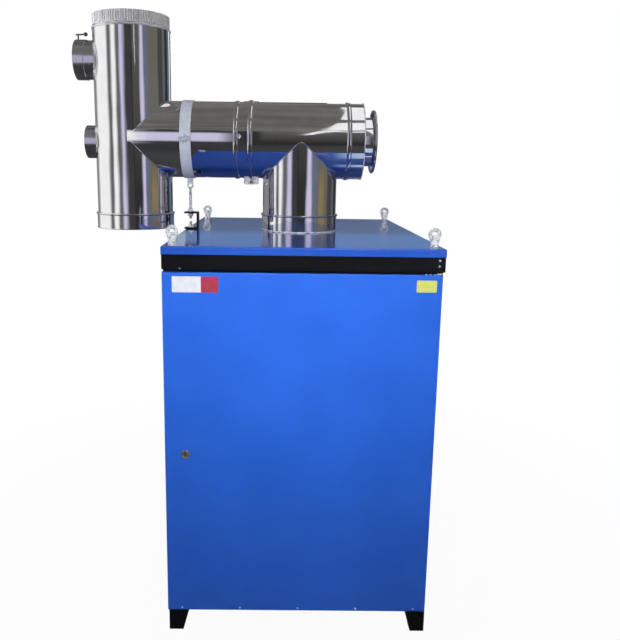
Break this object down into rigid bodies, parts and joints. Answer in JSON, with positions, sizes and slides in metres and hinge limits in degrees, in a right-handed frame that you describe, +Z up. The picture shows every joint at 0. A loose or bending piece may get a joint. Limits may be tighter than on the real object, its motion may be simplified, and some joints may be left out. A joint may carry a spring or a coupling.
{
  "type": "gas boiler",
  "caption": "Outdoor gas boiler cabinet on feet with a hinged, lockable door, lifting eyes, and a polished flue tee that leads to a side stack with spigots.",
  "frame": {"origin": "on the floor, at the centre of the anchor holes in the four feet", "axes": "+Z up, -Y out of the door, +X to the right of someone facing the door"},
  "size_m": [1.1299, 1.052, 1.8595],
  "materials": {
    "blue_paint": "semi-gloss powder coat",
    "black_paint": "satin powder coat",
    "stainless": "mirror-polished stainless steel",
    "zinc": "zinc plated",
    "lock_plate": "plated"
  },
  "bodies": {
    "cabinet": {"lid": "blue_paint", "front_top_rail": "black_paint", "back_top_rail": "black_paint", "left_top_rail": "black_paint", "right_top_rail": "black_paint", "base_tray": "black_paint", "back_panel": "blue_paint", "left_side_panel": "blue_paint", "right_side_panel": "blue_paint", "upper_hinge_bracket": "black_paint", "lower_hinge_bracket": "black_paint", "flue_collar": "stainless", "flue_riser": "stainless", "tee_barrel": "stainless", "end_cover": "stainless", "end_flange": "stainless", "joint_clamp": "stainless", "stack_branch": "stainless", "stack_barrel": "stainless", "stack_top_collar": "stainless", "stack_bottom_cap": "stainless", "upper_spigot": "stainless", "lower_spigot": "stainless", "spigot_sleeve": "stainless", "locking_lever": "stainless", "strap_upper_half": "zinc", "strap_lower_half": "zinc", "support_rod": "zinc", "rod_nuts": "zinc", "support_bracket": "black_paint", "bracket_bolt": "zinc", "front_left_post": "black_paint", "front_left_foot": "black_paint", "front_left_lifting_eye": "zinc", "front_right_post": "black_paint", "front_right_foot": "black_paint", "front_right_lifting_eye": "zinc", "back_left_post": "black_paint", "back_left_foot": "black_paint", "back_left_lifting_eye": "zinc", "back_right_post": "black_paint", "back_right_foot": "black_paint", "back_right_lifting_eye": "zinc"},
    "door": {"door_panel": "blue_paint", "upper_hinge_plate": "zinc", "lower_hinge_plate": "zinc", "lock_housing": "lock_plate"},
    "lock": {"lock_core": "lock_plate"}
  },
  "joints": [
    {"name": "door_hinge", "type": "hinge", "parent": "cabinet", "child": "door", "pos_m": [0.372, -0.516, 0.591], "axis": [0, 0, 1], "range_deg": [0, 110]},
    {"name": "lock_turn", "type": "hinge", "parent": "door", "child": "lock", "pos_m": [-0.328, -0.503, 0.576], "axis": [0, -1, 0], "range_deg": [0, 90]}
  ]
}
